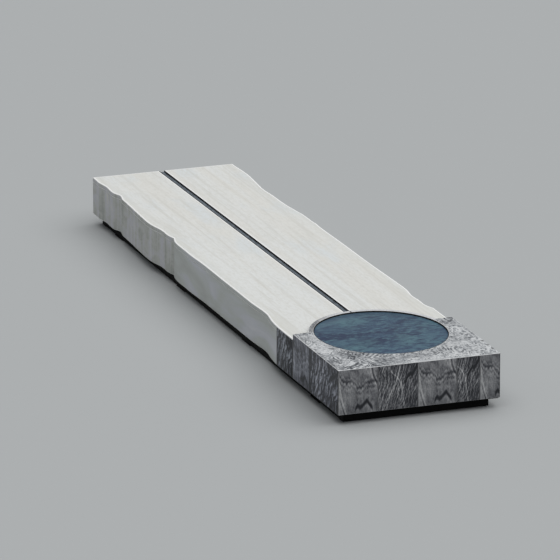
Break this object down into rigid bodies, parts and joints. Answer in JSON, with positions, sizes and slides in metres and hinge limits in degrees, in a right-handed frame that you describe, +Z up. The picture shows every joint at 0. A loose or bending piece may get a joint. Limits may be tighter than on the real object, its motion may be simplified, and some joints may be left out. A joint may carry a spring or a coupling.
{
  "type": "backless bench",
  "caption": "Long backless stone bench: white seat with wavy long edges and a centre channel that runs to an oval blue inlay in a raised grey marble block.",
  "frame": {"origin": "on the ground under the middle of the bench's bounding box", "axes": "+X along the bench towards the marble block, +Y across it, +Z up"},
  "size_m": [6, 1.3569, 0.45],
  "materials": {
    "white_stone": "honed off-white limestone with fine lengthwise bands",
    "grey_marble": "satin grey marble with dark wavy veins",
    "blue_resin": "satin cast resin, cloudy blue",
    "slate": "natural split",
    "black_steel": "matt black powder coat",
    "galvanised_steel": "hot-dip galvanised",
    "stainless": "plain",
    "rubber": "matt",
    "seal": "matt sealant",
    "foam_core": "cast light filler"
  },
  "bodies": {
    "root": {"base_plates": "black_steel", "bearing_strips": "rubber", "block_beam_front": "galvanised_steel", "block_beam_rear": "galvanised_steel", "block_front_slab_1": "grey_marble", "block_front_slab_2": "grey_marble", "block_front_slab_3": "grey_marble", "block_front_slab_4": "grey_marble", "block_front_slab_5": "grey_marble", "block_joist_left": "galvanised_steel", "block_joist_right": "galvanised_steel", "block_side_left_front": "grey_marble", "block_side_left_rear": "grey_marble", "block_side_right_front": "grey_marble", "block_side_right_rear": "grey_marble", "block_top_slab": "grey_marble", "bracket_bolts": "stainless", "channel_slate_strip": "slate", "channel_trough": "black_steel", "cladding_spacers": "galvanised_steel", "cross_beam_1": "galvanised_steel", "cross_beam_2": "galvanised_steel", "cross_beam_3": "galvanised_steel", "end_panel_far": "white_stone", "panel_brackets": "stainless", "plinth_cross_1": "black_steel", "plinth_cross_2": "black_steel", "plinth_end_caps": "black_steel", "plinth_end_far": "black_steel", "plinth_end_pool": "black_steel", "plinth_rail_left": "black_steel", "plinth_rail_right": "black_steel", "pool_base_plate": "galvanised_steel", "pool_core": "foam_core", "pool_disc": "blue_resin", "pool_kerb": "grey_marble", "pool_seal": "seal", "post_left_1": "galvanised_steel", "post_left_2": "galvanised_steel", "post_left_3": "galvanised_steel", "post_left_4": "galvanised_steel", "post_left_5": "galvanised_steel", "post_right_1": "galvanised_steel", "post_right_2": "galvanised_steel", "post_right_3": "galvanised_steel", "post_right_4": "galvanised_steel", "post_right_5": "galvanised_steel", "seat_dowels": "stainless", "seat_slab_left": "white_stone", "seat_slab_right": "white_stone", "shelf_bars": "black_steel", "side_panel_left_far": "white_stone", "side_panel_left_near": "white_stone", "side_panel_right_far": "white_stone", "side_panel_right_near": "white_stone", "slab_risers": "galvanised_steel", "stringer_centre": "galvanised_steel", "stringer_left": "galvanised_steel", "stringer_right": "galvanised_steel", "trough_packers": "rubber"}
  },
  "joints": []
}
